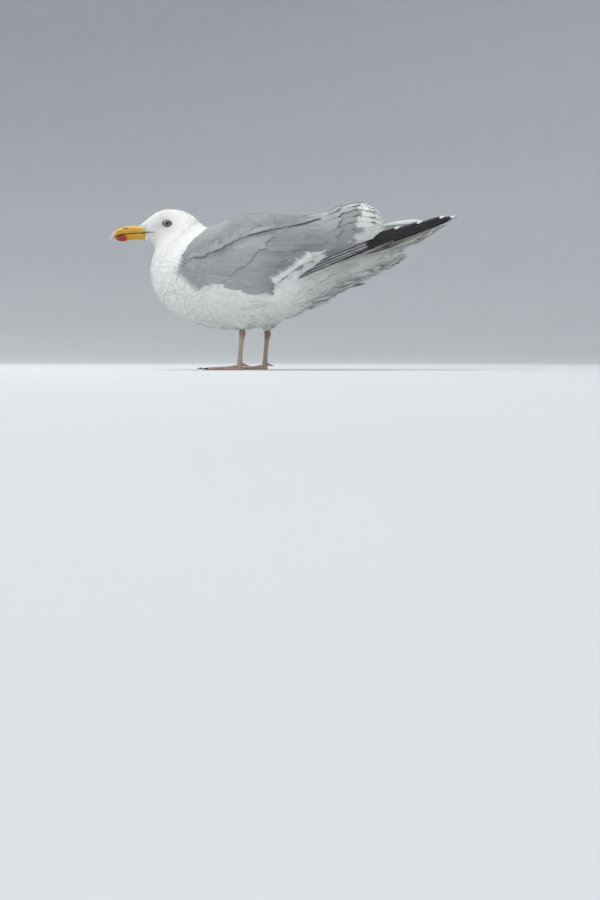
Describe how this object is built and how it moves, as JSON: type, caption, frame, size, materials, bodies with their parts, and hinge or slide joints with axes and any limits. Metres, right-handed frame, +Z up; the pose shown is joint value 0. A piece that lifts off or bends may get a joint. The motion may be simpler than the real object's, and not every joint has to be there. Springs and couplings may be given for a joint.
{
  "type": "herring gull",
  "caption": "Life-size herring gull standing at rest with its neck drawn in and wings folded, on two webbed feet.",
  "frame": {"origin": "on the floor, under the middle of the bird's length and width", "axes": "+Z up, -X the way the bird faces, +Y towards its right side"},
  "size_m": [0.5518, 0.152, 0.2654],
  "materials": {
    "white_feathered_flesh": "matt white feathers",
    "white_feathers": "matt white feathers",
    "grey_feathers": "matt pale grey feathers",
    "black_quills": "satin black feathers",
    "bill": "satin yellow horn with a red spot",
    "eye": "wet, pale yellow iris and black pupil",
    "leg_skin": "satin pink scaly skin",
    "claw": "dark horn"
  },
  "bodies": {
    "root": {"bill_lower": "bill", "bill_upper": "bill", "claw_left_hallux": "claw", "claw_left_inner": "claw", "claw_left_middle": "claw", "claw_left_outer": "claw", "claw_right_hallux": "claw", "claw_right_inner": "claw", "claw_right_middle": "claw", "claw_right_outer": "claw", "eye_left": "eye", "eye_right": "eye", "foot_left": "leg_skin", "foot_right": "leg_skin", "hallux_left": "leg_skin", "hallux_right": "leg_skin", "head": "white_feathered_flesh", "mantle": "grey_feathers", "neck": "white_feathered_flesh", "primary_left_1": "black_quills", "primary_left_2": "black_quills", "primary_left_3": "black_quills", "primary_left_4": "black_quills", "primary_right_1": "black_quills", "primary_right_2": "black_quills", "primary_right_3": "black_quills", "primary_right_4": "black_quills", "rump": "white_feathers", "shank_left": "leg_skin", "shank_right": "leg_skin", "tail": "white_feathers", "thigh_left": "white_feathered_flesh", "thigh_right": "white_feathered_flesh", "trunk": "white_feathered_flesh", "wing_left_coverts": "grey_feathers", "wing_left_tertials": "grey_feathers", "wing_right_coverts": "grey_feathers", "wing_right_tertials": "grey_feathers"}
  },
  "joints": []
}
